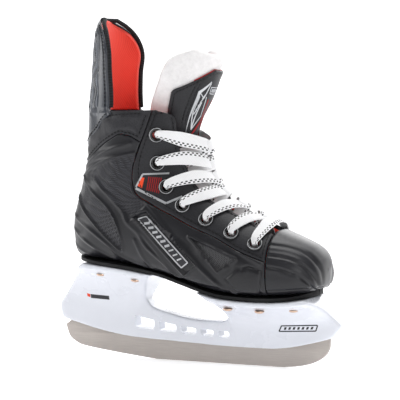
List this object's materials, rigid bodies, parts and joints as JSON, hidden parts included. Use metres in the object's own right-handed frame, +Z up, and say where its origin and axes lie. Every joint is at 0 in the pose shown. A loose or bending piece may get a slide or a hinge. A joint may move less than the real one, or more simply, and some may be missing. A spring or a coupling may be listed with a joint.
{
  "type": "ice hockey skate",
  "caption": "Junior ice hockey skate: moulded boot on a riveted blade holder, with a hinging tongue, a flexing tendon guard and a criss-cross lace.",
  "frame": {"origin": "on the blade's flat running edge, in the middle plane of the skate, below the middle of the blade's length", "axes": "+X towards the toe, +Y towards the inner side of the foot, +Z up from the ice"},
  "size_m": [0.2218, 0.0725, 0.251],
  "materials": {
    "moulded_shell": "satin black moulded plastic with embossed relief",
    "facing_leather": "black synthetic leather, stitched",
    "collar_leather": "soft black synthetic leather",
    "tongue_leather": "black synthetic leather, stitched",
    "guard_shell": "glossy dark plastic with wavy relief",
    "outsole": "dark moulded sole",
    "lining_red": "red twill lining",
    "foam": "ankle foam",
    "board": "fibre board",
    "footbed": "dark woven footbed",
    "felt_white": "thick white felt",
    "holder_plastic": "glossy white plastic",
    "blade_steel": "ground stainless steel",
    "rivet_copper": "coppery rivets",
    "eyelet_black": "glossy black lacquer",
    "badge": "silver printed plate",
    "lace_white": "flat woven lace"
  },
  "bodies": {
    "root": {"quarter_outer": "moulded_shell", "facing_outer": "facing_leather", "lining_outer": "lining_red", "collar_outer": "collar_leather", "ankle_pad_outer": "foam", "eyelet_outer_1": "eyelet_black", "eyelet_outer_2": "eyelet_black", "eyelet_outer_3": "eyelet_black", "eyelet_outer_4": "eyelet_black", "eyelet_outer_5": "eyelet_black", "eyelet_outer_6": "eyelet_black", "eyelet_outer_7": "eyelet_black", "quarter_inner": "moulded_shell", "facing_inner": "facing_leather", "lining_inner": "lining_red", "collar_inner": "collar_leather", "ankle_pad_inner": "foam", "eyelet_inner_1": "eyelet_black", "eyelet_inner_2": "eyelet_black", "eyelet_inner_3": "eyelet_black", "eyelet_inner_4": "eyelet_black", "eyelet_inner_5": "eyelet_black", "eyelet_inner_6": "eyelet_black", "eyelet_inner_7": "eyelet_black", "toe_cap": "moulded_shell", "insole_board": "board", "footbed": "footbed", "blade_pin_rear": "blade_steel", "blade_pin_front": "blade_steel", "rivet_rear_outer_1": "rivet_copper", "rivet_rear_outer_2": "rivet_copper", "rivet_rear_inner_1": "rivet_copper", "rivet_rear_inner_2": "rivet_copper", "rivet_front_outer_1": "rivet_copper", "rivet_front_outer_2": "rivet_copper", "rivet_front_outer_3": "rivet_copper", "rivet_front_inner_1": "rivet_copper", "rivet_front_inner_2": "rivet_copper", "rivet_front_inner_3": "rivet_copper", "blade": "blade_steel", "holder": "holder_plastic", "outsole": "outsole", "tongue_felt_lower": "felt_white", "tongue_cover_lower": "tongue_leather", "guard_foot": "guard_shell", "badge_outer": "badge", "badge_inner": "badge", "lace": "lace_white"},
    "tongue_top": {"tongue_felt_top": "felt_white", "tongue_cover_top": "tongue_leather"},
    "tendon_guard": {"tendon_guard_shell": "guard_shell", "tendon_guard_lining": "lining_red"}
  },
  "joints": [
    {"name": "tongue_flop", "type": "hinge", "parent": "root", "child": "tongue_top", "pos_m": [0.0055, 0, 0.17], "axis": [0, 1, 0], "range_deg": [0, 50]},
    {"name": "tendon_guard_flex", "type": "hinge", "parent": "root", "child": "tendon_guard", "pos_m": [-0.084, 0, 0.1838], "axis": [0, 1, 0], "range_deg": [-20, 0]}
  ]
}
